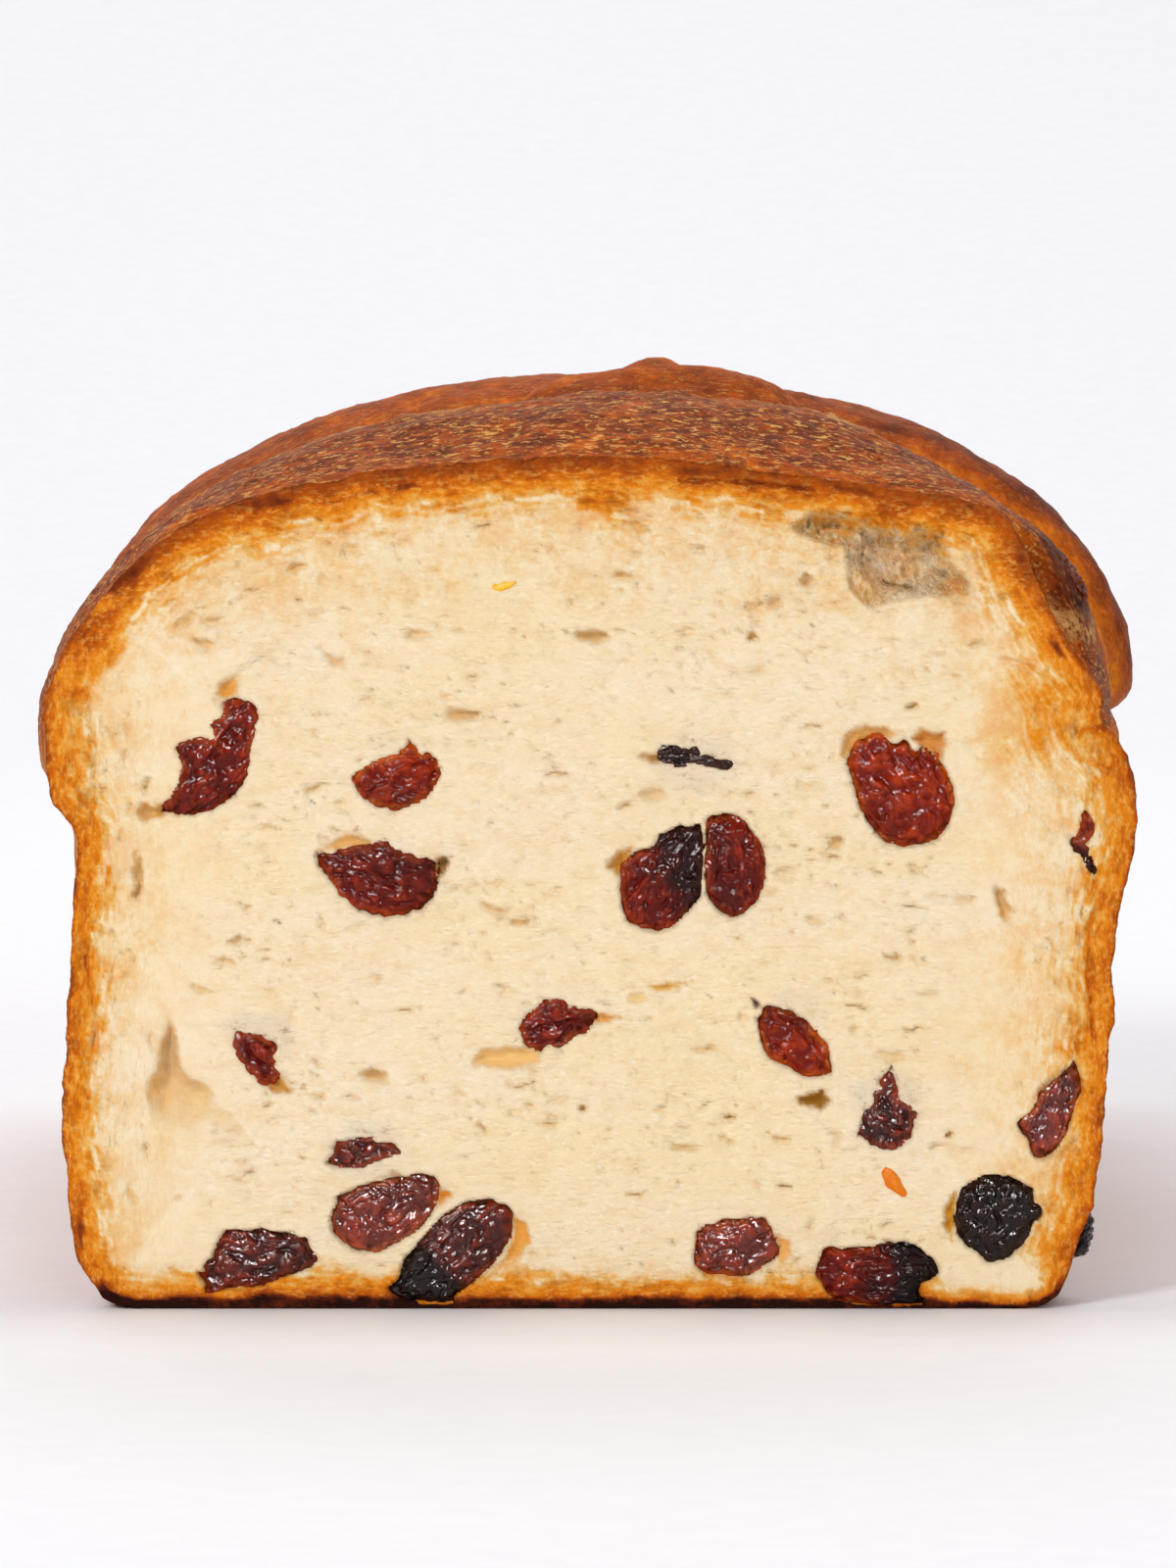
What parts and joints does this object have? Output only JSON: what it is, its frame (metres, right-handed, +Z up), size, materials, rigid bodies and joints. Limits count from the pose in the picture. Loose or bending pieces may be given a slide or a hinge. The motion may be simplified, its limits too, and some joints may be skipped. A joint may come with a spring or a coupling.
{
  "type": "cut loaf of raisin bread",
  "caption": "Rest of a tin loaf of raisin bread standing on its base: a flat cut face with raisins and air pockets, a lobed glossy brown crown over the tin rim, straight baked sides.",
  "frame": {"origin": "middle of the bounding box at the base the loaf stands on", "axes": "+Z up, -Y out of the cut face, +Y towards the uncut end, +X to the right when the cut face is looked at"},
  "size_m": [0.1332, 0.177, 0.1078],
  "materials": {
    "baked_bread": "egg-washed brown crust over cream crumb",
    "raisin_amber": "moist wrinkled amber skin",
    "raisin_brown": "moist wrinkled brown skin",
    "raisin_purple": "moist wrinkled purple-brown skin",
    "raisin_black": "dark baked wrinkled skin"
  },
  "bodies": {
    "root": {"loaf": "baked_bread", "raisin_01": "raisin_brown", "raisin_02": "raisin_amber", "raisin_03": "raisin_brown", "raisin_04": "raisin_black", "raisin_05": "raisin_purple", "raisin_06": "raisin_brown", "raisin_07": "raisin_amber", "raisin_08": "raisin_black", "raisin_09": "raisin_purple", "raisin_10": "raisin_brown", "raisin_11": "raisin_amber", "raisin_12": "raisin_purple", "raisin_13": "raisin_purple", "raisin_14": "raisin_purple", "raisin_15": "raisin_purple", "raisin_16": "raisin_black", "raisin_17": "raisin_purple", "raisin_18": "raisin_amber", "raisin_19": "raisin_black", "raisin_20": "raisin_black", "raisin_21": "raisin_black", "raisin_22": "raisin_brown", "raisin_23": "raisin_brown", "raisin_24": "raisin_purple", "raisin_25": "raisin_black", "raisin_26": "raisin_brown", "raisin_27": "raisin_black"}
  },
  "joints": []
}
